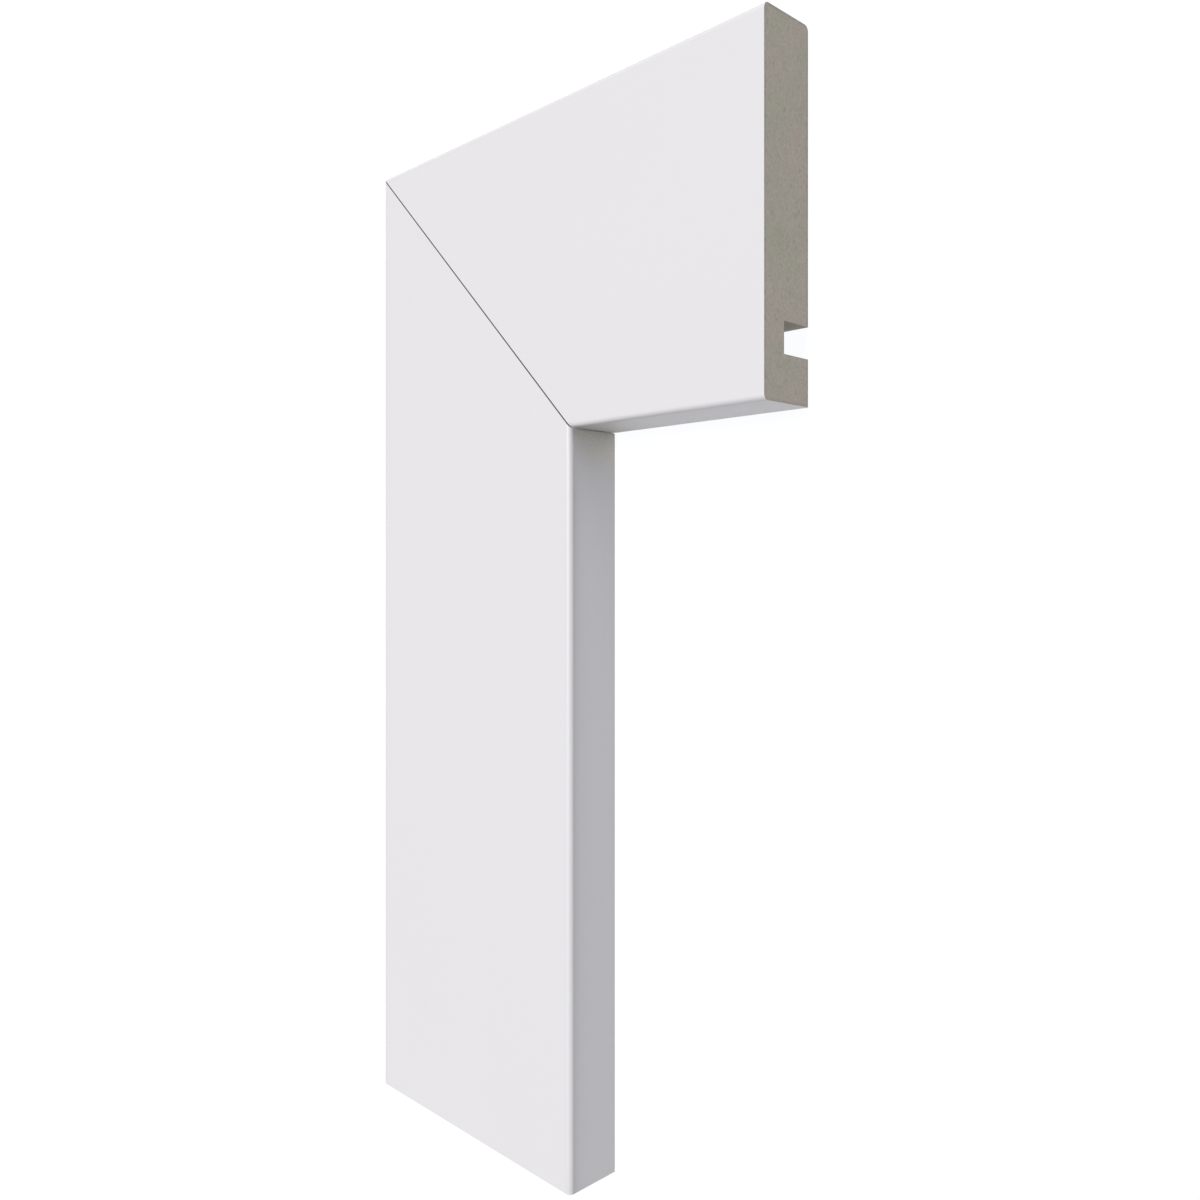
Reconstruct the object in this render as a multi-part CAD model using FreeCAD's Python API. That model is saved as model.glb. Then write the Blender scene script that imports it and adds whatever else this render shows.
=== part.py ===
import FreeCAD, Part
import math
import os

from FreeCAD import Vector

# Corner of a door architrave: a short head and a longer leg of one moulding, mitred together.
# It lies on its back, in millimetres, with +Z up out of the painted face and the back on z = 0.
# The origin is the inner corner of the mitre. The head runs along +X and the leg along -Y.

# Section of the moulding
moulding_width = 95.0
moulding_thickness = 18.0
inner_front_radius = 1.5
outer_front_radius = 1.75
outer_back_radius = 1.5

# Groove in the back, for the tongue of a door lining
groove_width = 8.0
groove_depth = 10.0
groove_from_inner_edge = 12.0

# Lengths along the outer edge, from the long point of the mitre to the square cut
head_outer_length = 163.0
leg_outer_length = 312.5

# Joint between the two lengths
corner_angle = 90.0
mitre_gap = 0.4


def section_corners():
    """Corners of the section in order: distance from the inner edge, height, rounding radius."""
    groove_near_wall = groove_from_inner_edge
    groove_far_wall = groove_from_inner_edge + groove_width
    return [
        (0.0, 0.0, 0.0),
        (groove_near_wall, 0.0, 0.0),
        (groove_near_wall, groove_depth, 0.0),
        (groove_far_wall, groove_depth, 0.0),
        (groove_far_wall, 0.0, 0.0),
        (moulding_width, 0.0, outer_back_radius),
        (moulding_width, moulding_thickness, outer_front_radius),
        (0.0, moulding_thickness, inner_front_radius),
    ]


def corner_round(corner, last, following, radius):
    """Start, middle and end of the quarter circle that rounds a square corner."""
    along_last = (last - corner).normalize() * radius
    along_next = (following - corner).normalize() * radius
    centre = corner + along_last + along_next
    middle = centre - (along_last + along_next) * math.sqrt(0.5)
    return corner + along_last, middle, corner + along_next


def section_face(x):
    """Section of the moulding as a flat face, at one place along the head."""
    corners = section_corners()
    points = [Vector(x, across, height) for across, height, _ in corners]
    rounds = []
    for index, (_, _, radius) in enumerate(corners):
        following = points[(index + 1) % len(points)]
        rounds.append(corner_round(points[index], points[index - 1], following, radius))
    edges = []
    for index, (start, middle, end) in enumerate(rounds):
        next_start = rounds[(index + 1) % len(rounds)][0]
        if corners[index][2] > 0.0:
            edges.append(Part.Arc(start, middle, end).toShape())
        edges.append(Part.LineSegment(end, next_start).toShape())
    return Part.Face(Part.Wire(edges))


def mitre_direction():
    """Along the mitre on plan, from its inner corner to its long point."""
    mitre_angle = math.radians(corner_angle / 2.0)
    return Vector(-math.cos(mitre_angle), math.sin(mitre_angle), 0.0)


def mitre_normal():
    """Square to the mitre on plan, into the head."""
    along = mitre_direction()
    return Vector(along.y, -along.x, 0.0)


def long_point():
    """Outer end of the mitre on plan, before the joint gap is taken off."""
    along = mitre_direction()
    return along * (moulding_width / along.y)


def mitre_waste():
    """Block that the saw takes off: it stops half the joint gap inside the head."""
    overrun = moulding_thickness
    past_edge = mitre_direction() * overrun
    cut_line = mitre_normal() * (mitre_gap / 2.0)
    inner = cut_line - past_edge
    outer = cut_line + long_point() + past_edge
    away = mitre_normal() * -(long_point().Length + 2.0 * overrun)
    plan = Part.Face(Part.makePolygon([inner, outer, outer + away, inner + away, inner]))
    plan.translate(Vector(0.0, 0.0, -overrun))
    return plan.extrude(Vector(0.0, 0.0, moulding_thickness + 2.0 * overrun))


def mitred_moulding(outer_length):
    """One length along +X, mitred at the origin and cut square at its other end."""
    blank_start = long_point().x - moulding_thickness
    square_cut = long_point().x + outer_length
    blank = section_face(blank_start).extrude(Vector(square_cut - blank_start, 0.0, 0.0))
    return blank.cut(mitre_waste())


def turned_round_corner(length):
    """The same moulding with the other hand of mitre, running down the other side of the corner."""
    return length.mirror(Vector(0.0, 0.0, 0.0), mitre_normal())


pieces = {
    "architrave_head": mitred_moulding(head_outer_length),
    "architrave_leg": turned_round_corner(mitred_moulding(leg_outer_length)),
}

os.makedirs("parts", exist_ok=True)
for name, piece in pieces.items():
    piece.exportStep(f"parts/{name}.step")
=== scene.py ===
import math
from typing import NamedTuple

import bpy
from bpy.props import FloatProperty, FloatVectorProperty, IntProperty, PointerProperty
from bpy.types import Operator, Panel, PropertyGroup
from mathutils import Matrix, Vector


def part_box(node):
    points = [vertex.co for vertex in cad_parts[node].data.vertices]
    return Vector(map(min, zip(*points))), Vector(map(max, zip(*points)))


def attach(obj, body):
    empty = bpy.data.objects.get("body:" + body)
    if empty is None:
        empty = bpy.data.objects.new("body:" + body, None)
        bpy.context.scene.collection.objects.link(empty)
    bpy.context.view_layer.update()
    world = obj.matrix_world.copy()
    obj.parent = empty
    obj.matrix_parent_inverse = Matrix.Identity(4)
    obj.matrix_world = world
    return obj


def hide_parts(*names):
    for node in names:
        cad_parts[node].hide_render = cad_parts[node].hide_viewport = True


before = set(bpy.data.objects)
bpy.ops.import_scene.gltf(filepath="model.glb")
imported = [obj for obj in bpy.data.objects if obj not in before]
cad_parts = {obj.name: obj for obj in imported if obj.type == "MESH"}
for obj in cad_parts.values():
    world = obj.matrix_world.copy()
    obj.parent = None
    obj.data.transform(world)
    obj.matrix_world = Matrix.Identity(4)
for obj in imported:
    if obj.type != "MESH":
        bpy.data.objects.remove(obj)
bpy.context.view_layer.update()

bl_info = {
    "name": "Mitred architrave corner",
    "version": (1, 0, 0),
    "blender": (4, 5, 0),
    "location": "3D View > Sidebar > Architrave",
    "description": "Two lengths of painted MDF architrave, mitred together, on a pale studio floor",
    "category": "Add Mesh",
}

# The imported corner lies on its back, in metres. Its origin is the inner corner of the mitre,
# the head runs along +X and the leg along -Y.
HEAD_LOW, HEAD_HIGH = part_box("architrave_head")
LEG_LOW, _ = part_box("architrave_leg")
BOARD_WIDTH = HEAD_HIGH.y - HEAD_LOW.y
BOARD_THICKNESS = HEAD_HIGH.z - HEAD_LOW.z
HEAD_LENGTH = HEAD_HIGH.x - LEG_LOW.x
LEG_LENGTH = HEAD_HIGH.y - LEG_LOW.y

# Attributes of a piece. The first says where in its board a point lies: along the length from
# the inner corner of the mitre, across from the inner edge, and up from the back. The others
# are the same all over the piece: how far along the stock it was cut, so that no two pieces
# have the same grain, how far the painted shade in the inner corner reaches along the back (X)
# and along the front (Y), and how much darker the inner edge is painted beside its round.
BOARD_PLACE = "board_place"
STOCK_OFFSET = "stock_offset"
CORNER_SHADE_REACH = "thin_paint_reach"
EDGE_SHADE = "edge_shade"

# How far along the stock from the head the leg was cut
LEG_STOCK_OFFSET = 0.7


# Node trees

class Socket:
    """One output of a node. Sums on it add their Math nodes to the same tree."""

    def __init__(self, tree, socket):
        self.tree = tree
        self.socket = socket

    def math(self, operation, *others):
        values = dict(enumerate((self, *others)))
        return self.tree.node("ShaderNodeMath", {"operation": operation}, values)

    def __add__(self, other):
        return self.math("ADD", other)

    def __radd__(self, other):
        return self.math("ADD", other)

    def __sub__(self, other):
        return self.math("SUBTRACT", other)

    def __rsub__(self, other):
        return self.math("MULTIPLY", -1.0) + other

    def __mul__(self, other):
        return self.math("MULTIPLY", other)

    def __rmul__(self, other):
        return self.math("MULTIPLY", other)

    def __truediv__(self, other):
        return self.math("DIVIDE", other)

    def __rtruediv__(self, other):
        return self.math("POWER", -1.0) * other

    def __lt__(self, other):
        return self.math("LESS_THAN", other)

    def __gt__(self, other):
        return self.math("GREATER_THAN", other)

    def size(self):
        return self.math("ABSOLUTE")

    def cosine(self):
        return self.math("COSINE")

    def sine(self):
        return self.math("SINE")

    def at_least(self, other):
        return self.math("MAXIMUM", other)

    def at_most(self, other):
        return self.math("MINIMUM", other)

    def between(self, low, high):
        """From 0 at the low value to 1 at the high one, and level beyond them."""
        values = {"Value": self, "From Min": low, "From Max": high}
        return self.tree.node("ShaderNodeMapRange", {"clamp": True}, values)

    def fading(self, reach):
        """1 at 0, and about a third as much with each reach further on."""
        return (self * -1.0 / reach).math("EXPONENT")


class Tree:
    """Adds nodes to a shader or geometry node tree."""

    def __init__(self, tree):
        self.tree = tree

    def node(self, kind, settings=None, values=None, outputs=None):
        """One node: its settings first, then its sockets' values or links, by name or by place.

        The setting named choices is how many an index switch has. Gives the node's first
        output, or those that are named."""
        made = self.tree.nodes.new(kind)
        for name, setting in (settings or {}).items():
            if name == "choices":
                while len(made.index_switch_items) < setting:
                    made.index_switch_items.new()
            else:
                setattr(made, name, setting)
        for key, value in (values or {}).items():
            socket = found_socket(made.inputs, key)
            if isinstance(value, Socket):
                self.tree.links.new(value.socket, socket)
            else:
                socket.default_value = value
        if outputs is None:
            return Socket(self, found_socket(made.outputs, 0)) if made.outputs else None
        return [Socket(self, found_socket(made.outputs, name)) for name in outputs]

    def vector(self, x, y, z):
        return self.node("ShaderNodeCombineXYZ", None, {"X": x, "Y": y, "Z": z})

    def parts(self, vector):
        return self.node("ShaderNodeSeparateXYZ", None, {"Vector": vector}, ("X", "Y", "Z"))

    def vectors(self, operation, *values):
        settings = {"operation": operation}
        return self.node("ShaderNodeVectorMath", settings, dict(enumerate(values)))

    def scaled(self, vector, factor):
        settings = {"operation": "SCALE"}
        return self.node("ShaderNodeVectorMath", settings, {0: vector, "Scale": factor})

    def mixed(self, factor, first, second, kind="FLOAT"):
        values = {"Factor": factor, "A": first, "B": second}
        return self.node("ShaderNodeMix", {"data_type": kind}, values)


def found_socket(sockets, key):
    """A socket by its name or its place among those that the node's settings leave in use."""
    in_use = [socket for socket in sockets if socket.enabled]
    if isinstance(key, int):
        return in_use[key]
    return next(socket for socket in in_use if socket.name == key)


# Shape of a mitred length

# Slack in metres between places that should be the same
SLACK = 0.000001

# A face counts as square to an axis when the part of its normal along it is over the first of
# these, and as an end of the sweep when the part along the sweep is over the second
FLAT_NORMAL = 0.9999
END_NORMAL = 0.5

SHAPE_INPUTS = {
    "Outer Length": "NodeSocketFloat",
    "Width": "NodeSocketFloat",
    "Thickness": "NodeSocketFloat",
    "Inner Front Round": "NodeSocketFloat",
    "Outer Front Round": "NodeSocketFloat",
    "Outer Back Round": "NodeSocketFloat",
    "Groove From Edge": "NodeSocketFloat",
    "Groove Width": "NodeSocketFloat",
    "Groove Depth": "NodeSocketFloat",
    "Mitre Angle": "NodeSocketFloat",
    "Joint Gap": "NodeSocketFloat",
    "Arris Easing": "NodeSocketFloat",
    "Round Steps": "NodeSocketInt",
    "Easing Steps": "NodeSocketInt",
    "Length Steps": "NodeSocketInt",
    "Along": "NodeSocketVector",
    "Across": "NodeSocketVector",
    "Stock Offset": "NodeSocketFloat",
    "Corner Shade Reach": "NodeSocketVector",
    "Edge Shade": "NodeSocketFloat",
    "Paint": "NodeSocketMaterial",
    "Bare Board": "NodeSocketMaterial",
}


def section_corners(sizes):
    """Corners of the section in order: place, rounding radius, and the way into the wood."""
    near = sizes["Groove From Edge"]
    far = near + sizes["Groove Width"]
    depth = sizes["Groove Depth"]
    width = sizes["Width"]
    thickness = sizes["Thickness"]
    return [
        ((0.0, 0.0), 0.0, (1.0, 1.0)),
        ((near, 0.0), 0.0, (-1.0, 1.0)),
        ((near, depth), 0.0, (-1.0, 1.0)),
        ((far, depth), 0.0, (1.0, 1.0)),
        ((far, 0.0), 0.0, (1.0, 1.0)),
        ((width, 0.0), sizes["Outer Back Round"], (-1.0, 1.0)),
        ((width, thickness), sizes["Outer Front Round"], (-1.0, -1.0)),
        ((0.0, thickness), sizes["Inner Front Round"], (1.0, -1.0)),
    ]


def picked(tree, kind, choices):
    """The choice that goes with each point's index."""
    values = {str(place): choice for place, choice in enumerate(choices)}
    values["Index"] = tree.node("GeometryNodeInputIndex")
    settings = {"data_type": kind, "choices": len(choices)}
    return tree.node("GeometryNodeIndexSwitch", settings, values)


def section_outline(tree, sizes, easing_share):
    """The section as a closed curve, across X and up Y, inset by a share of the arris easing."""
    inset = sizes["Arris Easing"] * easing_share
    places = []
    radii = []
    for (across, height), radius, (inward, upward) in section_corners(sizes):
        places.append(tree.vector(inset * inward + across, inset * upward + height, 0.0))
        radii.append((radius - inset).at_least(0.0))
    line = tree.node("GeometryNodeCurvePrimitiveLine", None, {"End": (1.0, 0.0, 0.0)})
    values = {"Curve": line, "Count": len(places)}
    corners = tree.node("GeometryNodeResampleCurve", None, values)
    values = {"Geometry": corners, "Position": picked(tree, "VECTOR", places)}
    corners = tree.node("GeometryNodeSetPosition", None, values)
    values = {"Geometry": corners, "Cyclic": True}
    corners = tree.node("GeometryNodeSetSplineCyclic", None, values)
    values = {
        "Curve": corners,
        "Count": sizes["Round Steps"],
        "Radius": picked(tree, "FLOAT", radii),
    }
    return tree.node("GeometryNodeFilletCurve", {"mode": "POLY"}, values)


def stored(tree, geometry, name, value, kind="FLOAT_VECTOR", domain="POINT"):
    """The geometry with a named value on each of its points or faces."""
    settings = {"data_type": kind, "domain": domain}
    values = {"Geometry": geometry, "Name": name, "Value": value}
    return tree.node("GeometryNodeStoreNamedAttribute", settings, values)


def named(tree, name, kind="FLOAT_VECTOR"):
    """A named value that the geometry holds."""
    settings = {"data_type": kind}
    return tree.node("GeometryNodeInputNamedAttribute", settings, {"Name": name})


def moulding_profile(tree, sizes):
    """The full outline, whose points hold their place in the section and their pull inwards."""
    outline = section_outline(tree, sizes, 0.0)
    position = tree.node("GeometryNodeInputPosition")
    values = {
        "Geometry": section_outline(tree, sizes, 1.0),
        "Value": position,
        "Index": tree.node("GeometryNodeInputIndex"),
    }
    eased_position = tree.node("GeometryNodeSampleIndex", {"data_type": "FLOAT_VECTOR"}, values)
    pull = tree.vectors("SUBTRACT", eased_position, position)
    outline = stored(tree, outline, "section_place", position)
    return stored(tree, outline, "section_pull", pull)


def length_rings(tree, sizes):
    """Line of the rings that the outline is drawn at, from the mitre to the square cut.

    Each end has a few close together, where the outline shrinks in a quarter circle to ease the
    cut. A ring holds its distance from the mitre and from the square cut, its share of the
    length between, and its share of the easing."""
    index = tree.node("GeometryNodeInputIndex")
    steps = sizes["Easing Steps"]
    last = steps * 2.0 + sizes["Length Steps"]
    quarter_turn = math.pi / 2.0
    from_mitre = (index / steps).at_most(1.0) * quarter_turn
    from_cut = ((last - index) / steps).at_most(1.0) * quarter_turn
    easing = sizes["Arris Easing"]
    ring_place = tree.vector(
        (1.0 - from_mitre.cosine()) * easing,
        (1.0 - from_cut.cosine()) * easing,
        ((index - steps) / sizes["Length Steps"]).between(0.0, 1.0),
    )
    line = tree.node("GeometryNodeCurvePrimitiveLine", None, {"End": (0.0, 0.0, 1.0)})
    line = tree.node("GeometryNodeResampleCurve", None, {"Curve": line, "Count": last + 1.0})
    line = stored(tree, line, "ring_place", ring_place)
    ring_easing = 2.0 - from_mitre.sine() - from_cut.sine()
    return stored(tree, line, "ring_easing", ring_easing, "FLOAT")


def placed_along_board(tree, sizes, mesh):
    """Moves the swept rings to their place: mitred at one end, square and eased at the other."""
    across, height, _ = tree.parts(named(tree, "section_place"))
    pull_across, pull_up, _ = tree.parts(named(tree, "section_pull"))
    from_mitre, from_cut, share = tree.parts(named(tree, "ring_place"))
    easing = named(tree, "ring_easing", "FLOAT")
    angle = sizes["Mitre Angle"]
    slope = angle.cosine() / angle.sine()
    mitre = sizes["Joint Gap"] * 0.5 / angle.sine() - across * slope
    square_cut = sizes["Outer Length"] - sizes["Width"] * slope
    along = tree.mixed(share, mitre + from_mitre, square_cut - from_cut)
    steps = [
        tree.scaled(sizes["Along"], along),
        tree.scaled(sizes["Across"], across + pull_across * easing),
        tree.vector(0.0, 0.0, height + pull_up * easing),
    ]
    position = tree.vectors("ADD", tree.vectors("ADD", steps[0], steps[1]), steps[2])
    mesh = stored(tree, mesh, BOARD_PLACE, tree.vector(along, across, height))
    mesh = stored(tree, mesh, STOCK_OFFSET, sizes["Stock Offset"], "FLOAT")
    mesh = stored(tree, mesh, CORNER_SHADE_REACH, sizes["Corner Shade Reach"])
    mesh = stored(tree, mesh, EDGE_SHADE, sizes["Edge Shade"], "FLOAT")
    return tree.node("GeometryNodeSetPosition", None, {"Geometry": mesh, "Position": position})


def bare_faces(tree, sizes):
    """1 on the cut ends, on the back and in the groove, which have no paint."""
    _, across, height = tree.parts(named(tree, BOARD_PLACE))
    near = sizes["Groove From Edge"] - SLACK
    far = near + sizes["Groove Width"] + 2.0 * SLACK
    groove = (across > near) * (across < far) * (height < sizes["Groove Depth"] + SLACK)
    return named(tree, "is_end", "FLOAT").at_least(height < SLACK).at_least(groove)


def flat_faces(tree):
    """1 on faces that lie square to an axis, and on the cut ends."""
    x, y, z = tree.parts(tree.node("GeometryNodeInputNormal"))
    squarest = x.size().at_least(y.size()).at_least(z.size())
    return (squarest > FLAT_NORMAL).at_least(named(tree, "is_end", "FLOAT"))


def moulding_shape():
    """Geometry nodes that draw one mitred length from the sizes of its section."""
    group = bpy.data.node_groups.new("mitred length", "GeometryNodeTree")
    group.interface.new_socket("Mesh", in_out="OUTPUT", socket_type="NodeSocketGeometry")
    for name, kind in SHAPE_INPUTS.items():
        group.interface.new_socket(name, in_out="INPUT", socket_type=kind)
    tree = Tree(group)
    sizes = dict(zip(SHAPE_INPUTS, tree.node("NodeGroupInput", None, None, SHAPE_INPUTS)))

    values = {
        "Curve": length_rings(tree, sizes),
        "Profile Curve": moulding_profile(tree, sizes),
        "Fill Caps": True,
    }
    mesh = tree.node("GeometryNodeCurveToMesh", None, values)
    _, _, along_sweep = tree.parts(tree.node("GeometryNodeInputNormal"))
    mesh = stored(tree, mesh, "is_end", along_sweep.size() > END_NORMAL, "FLOAT", "FACE")
    mesh = placed_along_board(tree, sizes, mesh)

    turned = tree.vectors("CROSS_PRODUCT", sizes["Along"], sizes["Across"])
    values = {"Mesh": mesh, "Selection": tree.parts(turned)[2] < 0.0}
    mesh = tree.node("GeometryNodeFlipFaces", None, values)
    values = {"Geometry": mesh, "Selection": flat_faces(tree), "Shade Smooth": False}
    mesh = tree.node("GeometryNodeSetShadeSmooth", None, values)
    mesh = tree.node("GeometryNodeRealizeInstances", None, {"Geometry": mesh})
    mesh = tree.node("GeometryNodeSetMaterial", None, {"Geometry": mesh, "Material": sizes["Paint"]})
    values = {
        "Geometry": mesh,
        "Selection": bare_faces(tree, sizes),
        "Material": sizes["Bare Board"],
    }
    tree.node("NodeGroupOutput", None, {0: tree.node("GeometryNodeSetMaterial", None, values)})
    return group


def shaped_piece(name, group, values):
    """Plain mesh piece made by a node group from the values of its named inputs."""
    stand_in = bpy.data.meshes.new(name)
    piece = bpy.data.objects.new(name, stand_in)
    bpy.context.scene.collection.objects.link(piece)
    modifier = piece.modifiers.new("shape", "NODES")
    modifier.node_group = group
    for item in group.interface.items_tree:
        if item.in_out == "INPUT":
            modifier[item.identifier] = values[item.name]
    evaluated = piece.evaluated_get(bpy.context.evaluated_depsgraph_get())
    mesh = bpy.data.meshes.new_from_object(evaluated)
    piece.modifiers.remove(modifier)
    piece.data = mesh
    bpy.data.meshes.remove(stand_in)
    return piece


# Finishes

class Pattern(NamedTuple):
    """Noise in a finish, and what it changes from its lowest to its highest point.

    The length of a blob and the relief are in metres. The stretch draws the blobs out along
    the length, across it and up."""

    blob: float
    stretch: tuple = (1.0, 1.0, 1.0)
    detail: float = 2.0
    detail_strength: float = 0.5
    shade: float = 0.0
    roughness: float = 0.0
    relief: float = 0.0


# Patterns of the board
FIBRES = Pattern(0.0016, (1.2, 1.2, 0.8), 3.0, 0.6, shade=0.22, roughness=-0.15, relief=0.00004)
SPECKLE = Pattern(0.0007, (1.2, 1.2, 0.8), 2.0, 0.6, shade=0.50, relief=0.00003)
FLECKS = Pattern(0.0012, (1.3, 1.3, 0.8), 1.0, shade=-0.14)
PATCHES = Pattern(0.009, (1.0, 1.2, 0.8))
LAYERS = Pattern(0.0012, (40.0, 40.0, 1.0), relief=0.00002)
CUTTER_MARKS = Pattern(0.0010, (1.0, 40.0, 40.0), relief=0.00003)

# Patterns of the paint
CLOUD = Pattern(0.07, (2.0, 1.0, 1.0), shade=0.02, roughness=0.06)
MOTTLE = Pattern(0.0024, detail=3.0, shade=0.012)
SANDING = Pattern(0.0011, (33.0, 1.0, 1.0), 1.0, roughness=0.05, relief=0.000004)
ORANGE_PEEL = Pattern(0.0021, detail=1.0, relief=0.000012)
RAGGED_EDGE = Pattern(0.0015, (1.5, 1.0, 1.0), 3.0)

# Noise at which a fleck or a patch begins, and at which it is full
FLECK_RANGE = (0.64, 0.72)
PATCH_RANGE = (0.36, 0.64)

# Shade of the board beside its flecks, which bring the mean back to about 1
FLECKLESS_SHADE = 1.01

BOARD_ROUGHNESS = 0.825
BOARD_IOR = 1.35

# Painted shade in the inner corner: how unevenly it is painted, and how much rougher the paint is there
CORNER_SHADE_PATCHINESS = 0.4
CORNER_SHADE_MATTING = 0.2

# Depth in metres within which a point counts as on a face of the section
FACE_DEPTH = 0.0001

# Share of a round's radius over which its look blends into the flats
ROUND_BLEND = 0.2

# Share of its reach at which bare board or a run of paint starts to fade
FADE_START = 0.5


def finish_material(name):
    """A new material and its node tree, which is empty."""
    material = bpy.data.materials.new(name)
    material.use_nodes = True
    material.node_tree.nodes.clear()
    return material, Tree(material.node_tree)


def surface(tree, values):
    """Ends a material's tree in a Principled shader with these values or links."""
    shader = tree.node("ShaderNodeBsdfPrincipled", None, values)
    tree.node("ShaderNodeOutputMaterial", None, {"Surface": shader})


def bump(tree, height):
    """Normal of a surface with this relief in metres."""
    return tree.node("ShaderNodeBump", None, {"Height": height, "Distance": 1.0})


def attribute(tree, name, output="Vector"):
    """Value that the piece's own mesh holds at each point."""
    return tree.node("ShaderNodeAttribute", {"attribute_name": name}, None, (output,))[0]


def stock_place(tree, place):
    """Place in the stock that the piece was cut from."""
    offset = tree.vector(attribute(tree, STOCK_OFFSET, "Fac"), 0.0, 0.0)
    return tree.vectors("ADD", place, offset)


def noise(tree, place, pattern):
    """Noise from 0 to 1 in a pattern."""
    squeeze = tuple(1.0 / (pattern.blob * times) for times in pattern.stretch)
    values = {
        "Vector": tree.vectors("MULTIPLY", place, squeeze),
        "Scale": 1.0,
        "Detail": pattern.detail,
        "Roughness": pattern.detail_strength,
    }
    return tree.node("ShaderNodeTexNoise", None, values)


def varied(mean, *noises):
    """A value about its mean, to which each noise adds its change from end to end."""
    total = mean - sum(change for _, change in noises) / 2.0
    for swing, change in noises:
        total = swing * change + total
    return total


def tinted(tree, factor, first, second):
    """Colour that goes from the first to the second with the factor."""
    return tree.mixed(factor, first, second, "RGBA")


def board_fibres(tree, stock):
    """Even speckle of short fibres, as a shade about 1 and as two heights."""
    fibres = noise(tree, stock, FIBRES)
    speckle = noise(tree, stock, SPECKLE)
    flecks = noise(tree, stock, FLECKS).between(*FLECK_RANGE)
    shade = varied(FLECKLESS_SHADE, (fibres, FIBRES.shade), (speckle, SPECKLE.shade))
    return shade + flecks * FLECKS.shade, fibres, speckle


def on_inner_edge(across, sizes):
    """1 on the inner edge face, fading to 0 halfway round to the front."""
    halfway = sizes.inner_front_round * (1.0 - math.sqrt(0.5))
    return across.between(halfway, 0.0)


def thin_paint(tree, place, sizes):
    """Painted shade: 1 in the inner corner, where the inner edge is painted darkest, fading to 0 along
    the edge.
    """
    along, across, height = tree.parts(place)
    at_back, at_front, _ = tree.parts(attribute(tree, CORNER_SHADE_REACH))
    reach = tree.mixed(height / sizes.thickness, at_back, at_front)
    return along.fading(reach).at_most(1.0) * on_inner_edge(across, sizes)


def under_paint(tree, place, fibre_shade, look):
    """Colour of the painted shade in the inner corner: grey, and board colour close to the corner."""
    along, _, _ = tree.parts(place)
    # Share of board colour in the painted corner shade, full close to the corner
    bare = along.between(look.bare_reach, FADE_START * look.bare_reach)
    board = tree.scaled(tuple(look.thin_paint_colour), fibre_shade)
    return tinted(tree, bare, (*look.primer_colour, 1.0), board)


def edge_shade(tree, place, look, sizes):
    """Painted shade: how much darker the inner edge is painted in the line beside its round."""
    along, across, height = tree.parts(place)
    below = sizes.thickness - sizes.inner_front_round - height
    faded = below.at_least(0.0).fading(look.edge_shade_reach)
    faded = faded * below.between(-ROUND_BLEND * sizes.inner_front_round, 0.0)
    faded = faded * along.between(0.0, look.edge_shade_start)
    return faded * attribute(tree, EDGE_SHADE, "Fac") * on_inner_edge(across, sizes)


def from_rounds(across, sizes):
    """Distance on the face from the nearer round, which is under 0 on the rounds and edges."""
    from_inner_round = across - sizes.inner_front_round
    from_outer_round = sizes.width - sizes.outer_front_round - across
    return from_inner_round.at_most(from_outer_round)


def on_face(tree, place, look, sizes):
    """1 on the face, fading to 0 at its rounds, which rubbing down leaves glossier."""
    _, across, _ = tree.parts(place)
    return from_rounds(across, sizes).between(0.0, look.rubbed_width)


def on_rounds(tree, place, sizes):
    """1 on the two front rounds, fading to 0 where they meet the face and the edges."""
    _, across, height = tree.parts(place)
    blend = ROUND_BLEND * sizes.inner_front_round
    edge_top = sizes.thickness - sizes.inner_front_round
    off_face = from_rounds(across, sizes).between(0.0, -blend)
    return off_face * height.between(edge_top, edge_top + blend)


def painted_finish(look, sizes):
    """Sprayed paint, matt on the face and satin on the rounds and edges: faint orange peel and
    sanding along the length. Painted shade darkens the inner edge towards the inner corner, in
    grey and nearest the corner in board colour, and darkens a line beside the leg's inner round.
    The rounds are painted paler, as painted light."""
    material, tree = finish_material("satin_white_paint")
    place = attribute(tree, BOARD_PLACE)
    stock = stock_place(tree, place)
    cloud = noise(tree, stock, CLOUD)
    mottle = noise(tree, stock, MOTTLE)
    sanding = noise(tree, stock, SANDING)
    peel = noise(tree, stock, ORANGE_PEEL)
    shade = varied(1.0, (cloud, CLOUD.shade), (mottle, MOTTLE.shade))
    # Painted shade: a darker line on the leg's inner edge beside its round
    shade = shade * (1.0 - edge_shade(tree, place, look, sizes))
    # Painted light: the rounds are painted paler, as if more light fell on them
    shade = shade * (on_rounds(tree, place, sizes) * look.round_lightening + 1.0)
    paint = tree.scaled(tuple(look.paint_colour), shade)
    fibre_shade, fibres, _ = board_fibres(tree, stock)
    # Share of painted shade in the inner corner, painted in grey and board colour
    shaded = thin_paint(tree, place, sizes) * varied(1.0, (fibres, CORNER_SHADE_PATCHINESS))
    noises = (cloud, CLOUD.roughness), (sanding, SANDING.roughness)
    roughness = varied(look.paint_roughness, *noises) + shaded * CORNER_SHADE_MATTING
    roughness = roughness + on_face(tree, place, look, sizes) * look.face_matting
    surface(tree, {
        "Base Color": tinted(tree, shaded, paint, under_paint(tree, place, fibre_shade, look)),
        "Roughness": roughness,
        "Normal": bump(tree, peel * ORANGE_PEEL.relief + sanding * SANDING.relief),
    })
    return material


def in_groove(tree, place, sizes):
    """1 on the walls and the floor of the groove."""
    _, across, height = tree.parts(place)
    near = sizes.groove_from_edge
    far = near + sizes.groove_width
    depth = sizes.groove_depth
    beside = across.between(near - FACE_DEPTH, near) * across.between(far + FACE_DEPTH, far)
    return beside * height.between(depth + FACE_DEPTH, depth)


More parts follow.
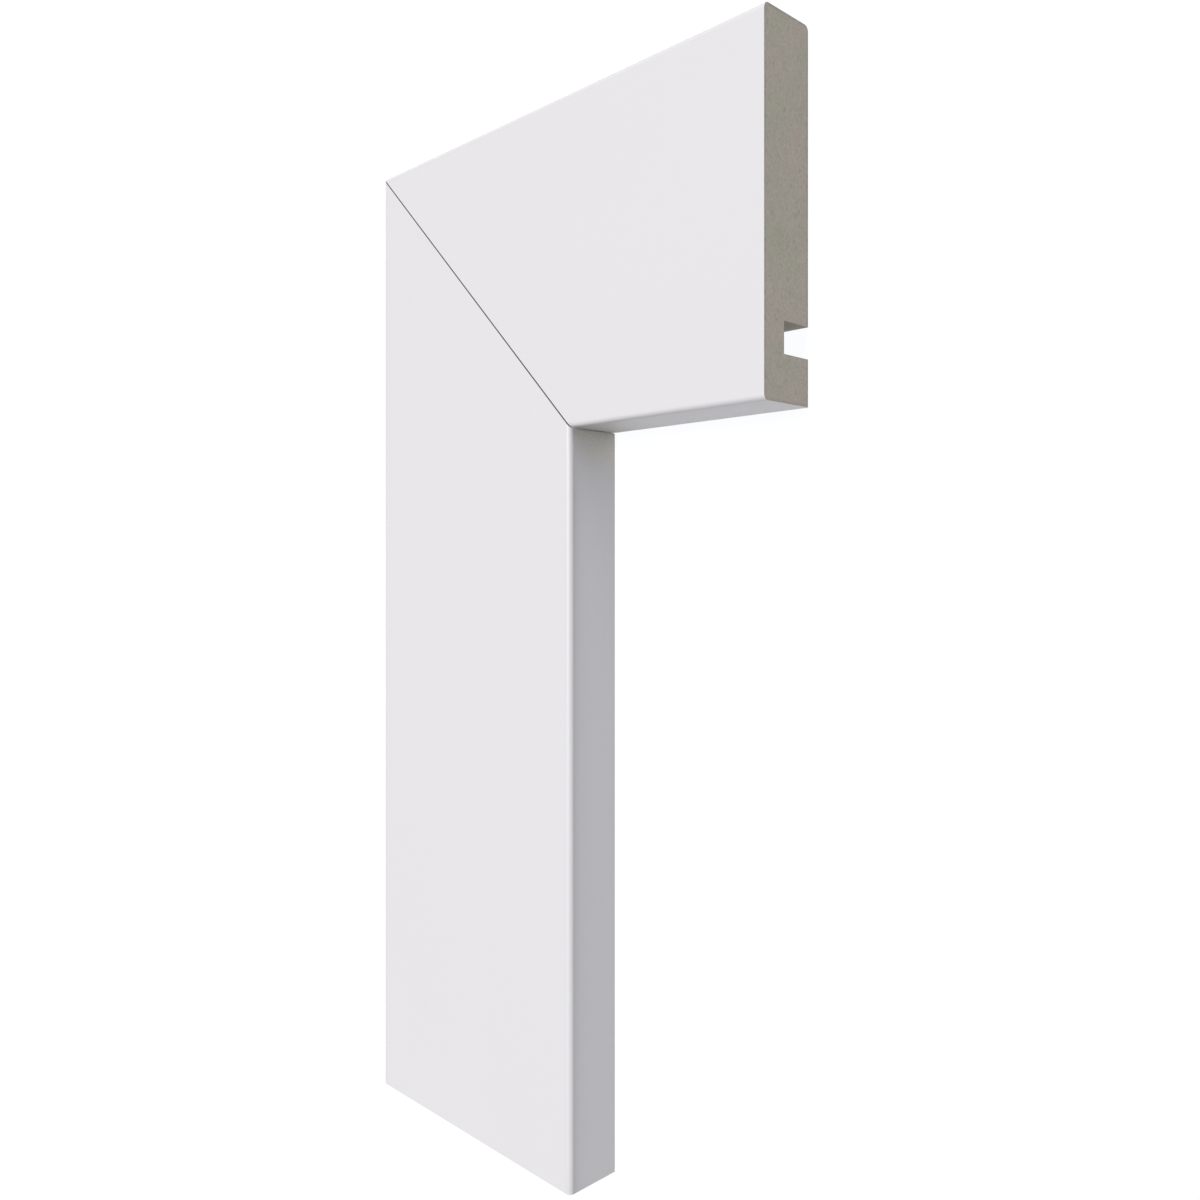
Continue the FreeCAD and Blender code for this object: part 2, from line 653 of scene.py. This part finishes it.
def overspray(tree, place, stock, look, sizes):
    """1 where paint has crept round the edges onto the back, fading to 0 in a ragged line."""
    _, across, height = tree.parts(place)
    on_back = height.between(FACE_DEPTH, 0.0)
    from_edge = across.at_most(sizes.width - across)
    reach = noise(tree, stock, RAGGED_EDGE) * (2.0 * look.overspray)
    return (reach - from_edge).between(0.0, look.overspray) * on_back


def paint_in_joint(tree, place, look, sizes):
    """1 in the mitre beside the inner edge, where paint has run into the joint."""
    along, across, _ = tree.parts(place)
    from_mitre = across / math.tan(sizes.mitre_angle) + along
    on_mitre = from_mitre.between(2.0 * sizes.joint_gap, sizes.joint_gap)
    return on_mitre * across.between(look.paint_run, FADE_START * look.paint_run)


def rim(tree, place, look, sizes):
    """1 on the outline of a cut end, where the board is denser and the paint has sealed it."""
    _, across, height = tree.parts(place)
    from_face = height.at_most(sizes.thickness - height)
    from_edge = across.at_most(sizes.width - across)
    off_back = height.between(0.0, FACE_DEPTH)
    return from_face.at_most(from_edge).between(look.rim_width, 0.0) * off_back


def bare_board_finish(look, sizes):
    """Sawn ends, milled groove and back of bare MDF, in soft brown and greenish patches. It is
    dark at the rim of the ends, painted darker in the groove as painted shade, and has faint
    layers and cutter marks."""
    material, tree = finish_material("bare_mdf")
    place = attribute(tree, BOARD_PLACE)
    stock = stock_place(tree, place)
    fibre_shade, fibres, speckle = board_fibres(tree, stock)
    patches = noise(tree, stock, PATCHES).between(*PATCH_RANGE)
    board = tinted(tree, patches, (*look.board_colour, 1.0), (*look.board_tint, 1.0))
    groove = in_groove(tree, place, sizes)
    # The rim of a cut end is darker board; the groove is painted darker as painted shade
    darker = rim(tree, place, look, sizes) * look.rim_shade + groove * look.groove_dust
    colour = tree.scaled(board, fibre_shade * (1.0 - darker))
    spray = overspray(tree, place, stock, look, sizes)
    spray = spray.at_least(paint_in_joint(tree, place, look, sizes))
    relief = fibres * FIBRES.relief + speckle * SPECKLE.relief
    relief = relief + noise(tree, stock, LAYERS) * LAYERS.relief
    relief = relief + noise(tree, stock, CUTTER_MARKS) * groove * CUTTER_MARKS.relief
    surface(tree, {
        "Base Color": tinted(tree, spray, colour, (*look.paint_colour, 1.0)),
        "Roughness": varied(BOARD_ROUGHNESS, (fibres, FIBRES.roughness)),
        "Normal": bump(tree, relief),
        "IOR": BOARD_IOR,
    })
    return material


# Stage

FLOOR_ROUGHNESS = 0.9

# Camera: width of the film in millimetres, and how near and far it sees in metres
FILM_WIDTH = 36.0
NEAREST_SEEN = 0.01
FARTHEST_SEEN = 100.0


def lit_floor_finish(stage):
    """Matt white acrylic, lit from below like a light table, so that shadows stay faint.

    Rays are not aimed at it: it is so large that they find it, and aimed ones leave dark
    patches low down on the piece."""
    material, tree = finish_material("lit_floor")
    material.cycles.emission_sampling = "NONE"
    surface(tree, {
        "Base Color": (*stage.floor_colour, 1.0),
        "Roughness": FLOOR_ROUGHNESS,
        "Emission Color": (*stage.floor_glow_colour, 1.0),
        "Emission Strength": stage.floor_glow,
    })
    return material


def make_floor(stage):
    """Level floor that the corner lies on, reaching past every view."""
    reach = stage.floor_reach
    mesh = bpy.data.meshes.new("floor")
    corners = [(-reach, -reach), (reach, -reach), (reach, reach), (-reach, reach)]
    mesh.from_pydata([(x, y, -stage.floor_drop) for x, y in corners], [], [(0, 1, 2, 3)])
    floor = bpy.data.objects.new("floor", mesh)
    bpy.context.scene.collection.objects.link(floor)
    mesh.materials.append(lit_floor_finish(stage))


def make_sky(stage):
    """Even light from all round, white where the camera sees past the floor."""
    world = bpy.data.worlds.new("studio")
    world.use_nodes = True
    world.node_tree.nodes.clear()
    tree = Tree(world.node_tree)
    sees = tree.node("ShaderNodeLightPath", None, None, ("Is Camera Ray",))[0]
    strength = tree.mixed(sees, stage.sky_strength, 1.0)
    values = {"Color": (1.0, 1.0, 1.0, 1.0), "Strength": strength}
    background = tree.node("ShaderNodeBackground", None, values)
    tree.node("ShaderNodeOutputWorld", None, {"Surface": background})
    bpy.context.scene.world = world


def make_light(stage):
    """Broad soft light from above, like a large diffuser."""
    light = bpy.data.lights.new("key", "SUN")
    light.energy = stage.key_strength
    light.angle = stage.key_spread
    lamp = bpy.data.objects.new("key", light)
    lamp.rotation_euler = Vector(stage.key_direction).to_track_quat("Z", "Y").to_euler()
    bpy.context.scene.collection.objects.link(lamp)


def make_camera(stage):
    """Camera at the photograph's viewing angle, set by its place from the outer mitre corner."""
    data = bpy.data.cameras.new("camera")
    data.sensor_width = FILM_WIDTH
    data.lens = stage.lens
    data.shift_y = stage.lens_shift
    data.clip_start = NEAREST_SEEN
    data.clip_end = FARTHEST_SEEN
    camera = bpy.data.objects.new("camera", data)
    turn = stage.camera_turn
    right = Vector((math.cos(turn), 0.0, -math.sin(turn)))
    back = Vector((math.sin(turn), 0.0, math.cos(turn)))
    outer_corner = Vector((LEG_LOW.x, HEAD_HIGH.y, BOARD_THICKNESS))
    place = outer_corner + Vector(stage.camera_from_corner)
    axes = Matrix((right, back.cross(right), back)).transposed()
    camera.matrix_world = Matrix.Translation(place) @ axes.to_4x4()
    bpy.context.scene.collection.objects.link(camera)
    bpy.context.scene.camera = camera


# Settings that a user would change

def length_property(name, description, default):
    return FloatProperty(
        name=name, description=description, default=default, unit="LENGTH", precision=5)


def colour_property(name, description, default):
    return FloatVectorProperty(
        name=name, description=description, default=default, subtype="COLOR", size=3)


def reach_property(name, default):
    description = "How far it reaches from the corner, along the back and along the front"
    return FloatVectorProperty(
        name=name, description=description, default=default, unit="LENGTH", size=2, precision=5)


class MouldingSizes(PropertyGroup):
    """Section of the moulding and the two lengths cut from it."""

    width: length_property("Width", "Width of the moulding", BOARD_WIDTH)
    thickness: length_property("Thickness", "Thickness of the moulding", BOARD_THICKNESS)
    head_length: length_property("Head length", "Outer edge of the head", HEAD_LENGTH)
    leg_length: length_property("Leg length", "Outer edge of the leg", LEG_LENGTH)
    inner_front_round: length_property("Inner round", "Radius on the inner front edge", 0.0015)
    outer_front_round: length_property("Outer round", "Radius on the outer front edge", 0.00175)
    outer_back_round: length_property("Back round", "Radius on the outer back edge", 0.0015)
    groove_from_edge: length_property("Groove place", "From the inner edge to the groove", 0.012)
    groove_width: length_property("Groove width", "Width of the groove in the back", 0.008)
    groove_depth: length_property("Groove depth", "Depth of the groove in the back", 0.010)
    joint_gap: length_property("Joint gap", "Width of the open line in the mitre", 0.0004)
    arris_easing: length_property("Easing", "Rounding of the sawn edges", 0.00006)
    mitre_angle: FloatProperty(
        name="Mitre angle", description="Mitre, from the inner edge",
        default=math.radians(45.0), subtype="ANGLE")
    round_steps: IntProperty(name="Round steps", description="Facets in each round", default=20)
    easing_steps: IntProperty(name="Easing steps", description="Facets in each eased edge", default=3)
    length_steps: IntProperty(name="Length steps", description="Facets along a length", default=24)


class MouldingLook(PropertyGroup):
    """Colours and gloss of the paint and the bare board, and where they change."""

    paint_colour: colour_property("Paint", "Colour of the paint", (0.755, 0.741, 0.763))
    paint_roughness: FloatProperty(
        name="Paint roughness", description="0 is gloss and 1 is matt", default=0.52, subtype="FACTOR")
    face_matting: FloatProperty(name="Face matting", description="More matt than edges", default=0.28)
    rubbed_width: length_property("Rubbed width", "How far the gloss of the rounds reaches", 0.001)
    # Painted light: paler paint on the rounds stands in for light on them
    round_lightening: FloatProperty(
        name="Round lightening", description="Paler paint on the rounds", default=0.05)
    # Painted shade in the inner corner: the grey and board colour it is painted in, and how far it
    # reaches
    primer_colour: colour_property("Primer", "Primer seen through thin paint", (0.483, 0.474, 0.488))
    thin_paint_colour: colour_property("Thin paint", "Board seen through it", (0.492, 0.480, 0.430))
    bare_reach: length_property("Bare reach", "From the corner to where the board is primed", 0.014)
    head_thin_paint: reach_property("Thin paint, head", (0.014, 0.007))
    leg_thin_paint: reach_property("Thin paint, leg", (0.030, 0.0005))
    # Painted shade: darker paint beside the leg's inner round
    leg_edge_shade: FloatProperty(name="Edge shade, leg", description="Darker by the round", default=0.20)
    edge_shade_reach: length_property("Edge shade reach", "How far down the edge it fades", 0.0015)
    edge_shade_start: length_property("Edge shade start", "From the corner to its full shade", 0.018)
    overspray: length_property("Overspray", "How far paint creeps onto the back", 0.0025)
    paint_run: length_property("Paint run", "How deep paint has run into the joint", 0.0012)
    board_colour: colour_property("Board", "Colour of the bare board", (0.530, 0.474, 0.414))
    board_tint: colour_property("Board tint", "Second colour of the board", (0.493, 0.474, 0.391))
    rim_width: length_property("Rim", "Width of the dark rim of a cut end", 0.0009)
    rim_shade: FloatProperty(name="Rim shade", description="Darker at the rim", default=0.18)
    # Painted shade: the groove is painted darker
    groove_dust: FloatProperty(name="Groove dust", description="Darker in the groove", default=0.32)


class StageSettings(PropertyGroup):
    """Floor, light and camera."""

    floor_colour: colour_property("Floor", "Colour of the floor", (0.04, 0.04, 0.04))
    floor_glow_colour: colour_property(
        "Floor glow", "Colour of the light in the floor", (0.99, 0.995, 1.015))
    floor_glow: FloatProperty(name="Glow", description="Light from the floor itself", default=0.97)
    floor_reach: length_property("Floor reach", "Half the floor's side", 40.0)
    floor_drop: length_property("Floor drop", "How far the floor lies below the back", 0.00002)
    sky_strength: FloatProperty(name="Sky", description="Light from all round", default=0.05)
    key_strength: FloatProperty(name="Key", description="Light from above", default=3.305)
    key_spread: FloatProperty(
        name="Key spread", description="Angle that the light above fills",
        default=math.radians(20.0), subtype="ANGLE")
    key_direction: FloatVectorProperty(
        name="Key direction", description="Way to the light above",
        default=(0.0, 0.22, 1.0), subtype="DIRECTION")
    lens: FloatProperty(name="Lens", description="Focal length in millimetres", default=32.226)
    lens_shift: FloatProperty(name="Lens shift", description="Rise of the lens", default=-0.02342)
    camera_turn: FloatProperty(
        name="Camera turn", description="Angle between the view and the face's normal",
        default=0.79809, subtype="ANGLE")
    camera_from_corner: FloatVectorProperty(
        name="Camera place", description="From the outer corner of the mitre on the face",
        default=(0.3184, -0.1359, 0.2059), subtype="XYZ", unit="LENGTH")


# Operators

class MitredLengths(Operator):
    """Make the head and the leg of the corner from one section"""

    bl_idname = "architrave.mitred_lengths"
    bl_label = "Make head and leg"

    def execute(self, context):
        sizes = context.scene.architrave_sizes
        look = context.scene.architrave_look
        shape = moulding_shape()
        section = {
            "Width": sizes.width,
            "Thickness": sizes.thickness,
            "Inner Front Round": sizes.inner_front_round,
            "Outer Front Round": sizes.outer_front_round,
            "Outer Back Round": sizes.outer_back_round,
            "Groove From Edge": sizes.groove_from_edge,
            "Groove Width": sizes.groove_width,
            "Groove Depth": sizes.groove_depth,
            "Mitre Angle": sizes.mitre_angle,
            "Joint Gap": sizes.joint_gap,
            "Arris Easing": sizes.arris_easing,
            "Round Steps": sizes.round_steps,
            "Easing Steps": sizes.easing_steps,
            "Length Steps": sizes.length_steps,
            "Paint": painted_finish(look, sizes),
            "Bare Board": bare_board_finish(look, sizes),
        }
        along = Vector((1.0, 0.0, 0.0))
        across = Vector((0.0, 1.0, 0.0))
        head = {
            "Outer Length": sizes.head_length,
            "Stock Offset": 0.0,
            "Corner Shade Reach": (*look.head_thin_paint, 0.0),
            "Edge Shade": 0.0,
            "Along": along,
            "Across": across,
        }
        round_corner = Matrix.Rotation(-2.0 * sizes.mitre_angle, 3, "Z")
        leg = {
            "Outer Length": sizes.leg_length,
            "Stock Offset": LEG_STOCK_OFFSET,
            "Corner Shade Reach": (*look.leg_thin_paint, 0.0),
            "Edge Shade": look.leg_edge_shade,
            "Along": round_corner @ along,
            "Across": -(round_corner @ across),
        }
        pieces = [
            ("head_moulding", "architrave_head", head),
            ("leg_moulding", "architrave_leg", leg),
        ]
        for name, node, length in pieces:
            piece = shaped_piece(name, shape, {**section, **length})
            if not piece.data.polygons:
                raise RuntimeError(f"{name} came out empty")
            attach(piece, "root")
            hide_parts(node)
        return {"FINISHED"}


class Studio(Operator):
    """Lay the floor, hang the light and set up the camera"""

    bl_idname = "architrave.studio"
    bl_label = "Make studio"

    def execute(self, context):
        stage = context.scene.architrave_stage
        make_floor(stage)
        make_sky(stage)
        make_light(stage)
        make_camera(stage)
        context.scene.view_settings.view_transform = "Standard"
        return {"FINISHED"}


class ArchitravePanel(Panel):
    """Sizes, finishes and steps of the corner"""

    bl_idname = "VIEW3D_PT_architrave"
    bl_label = "Architrave corner"
    bl_space_type = "VIEW_3D"
    bl_region_type = "UI"
    bl_category = "Architrave"

    def draw(self, context):
        scene = context.scene
        for settings in (scene.architrave_sizes, scene.architrave_look, scene.architrave_stage):
            for name in settings.__annotations__:
                self.layout.prop(settings, name)
        for step in STEPS:
            self.layout.operator(step.bl_idname)


STEPS = (MitredLengths, Studio)
SETTINGS = {
    "architrave_sizes": MouldingSizes,
    "architrave_look": MouldingLook,
    "architrave_stage": StageSettings,
}


def register():
    for shown in (*SETTINGS.values(), *STEPS, ArchitravePanel):
        bpy.utils.register_class(shown)
    for name, settings in SETTINGS.items():
        setattr(bpy.types.Scene, name, PointerProperty(type=settings))


def unregister():
    for name in SETTINGS:
        delattr(bpy.types.Scene, name)
    for shown in (ArchitravePanel, *STEPS, *SETTINGS.values()):
        bpy.utils.unregister_class(shown)


def main():
    register()
    bpy.ops.architrave.mitred_lengths()
    bpy.ops.architrave.studio()


if __name__ == "__main__":
    main()
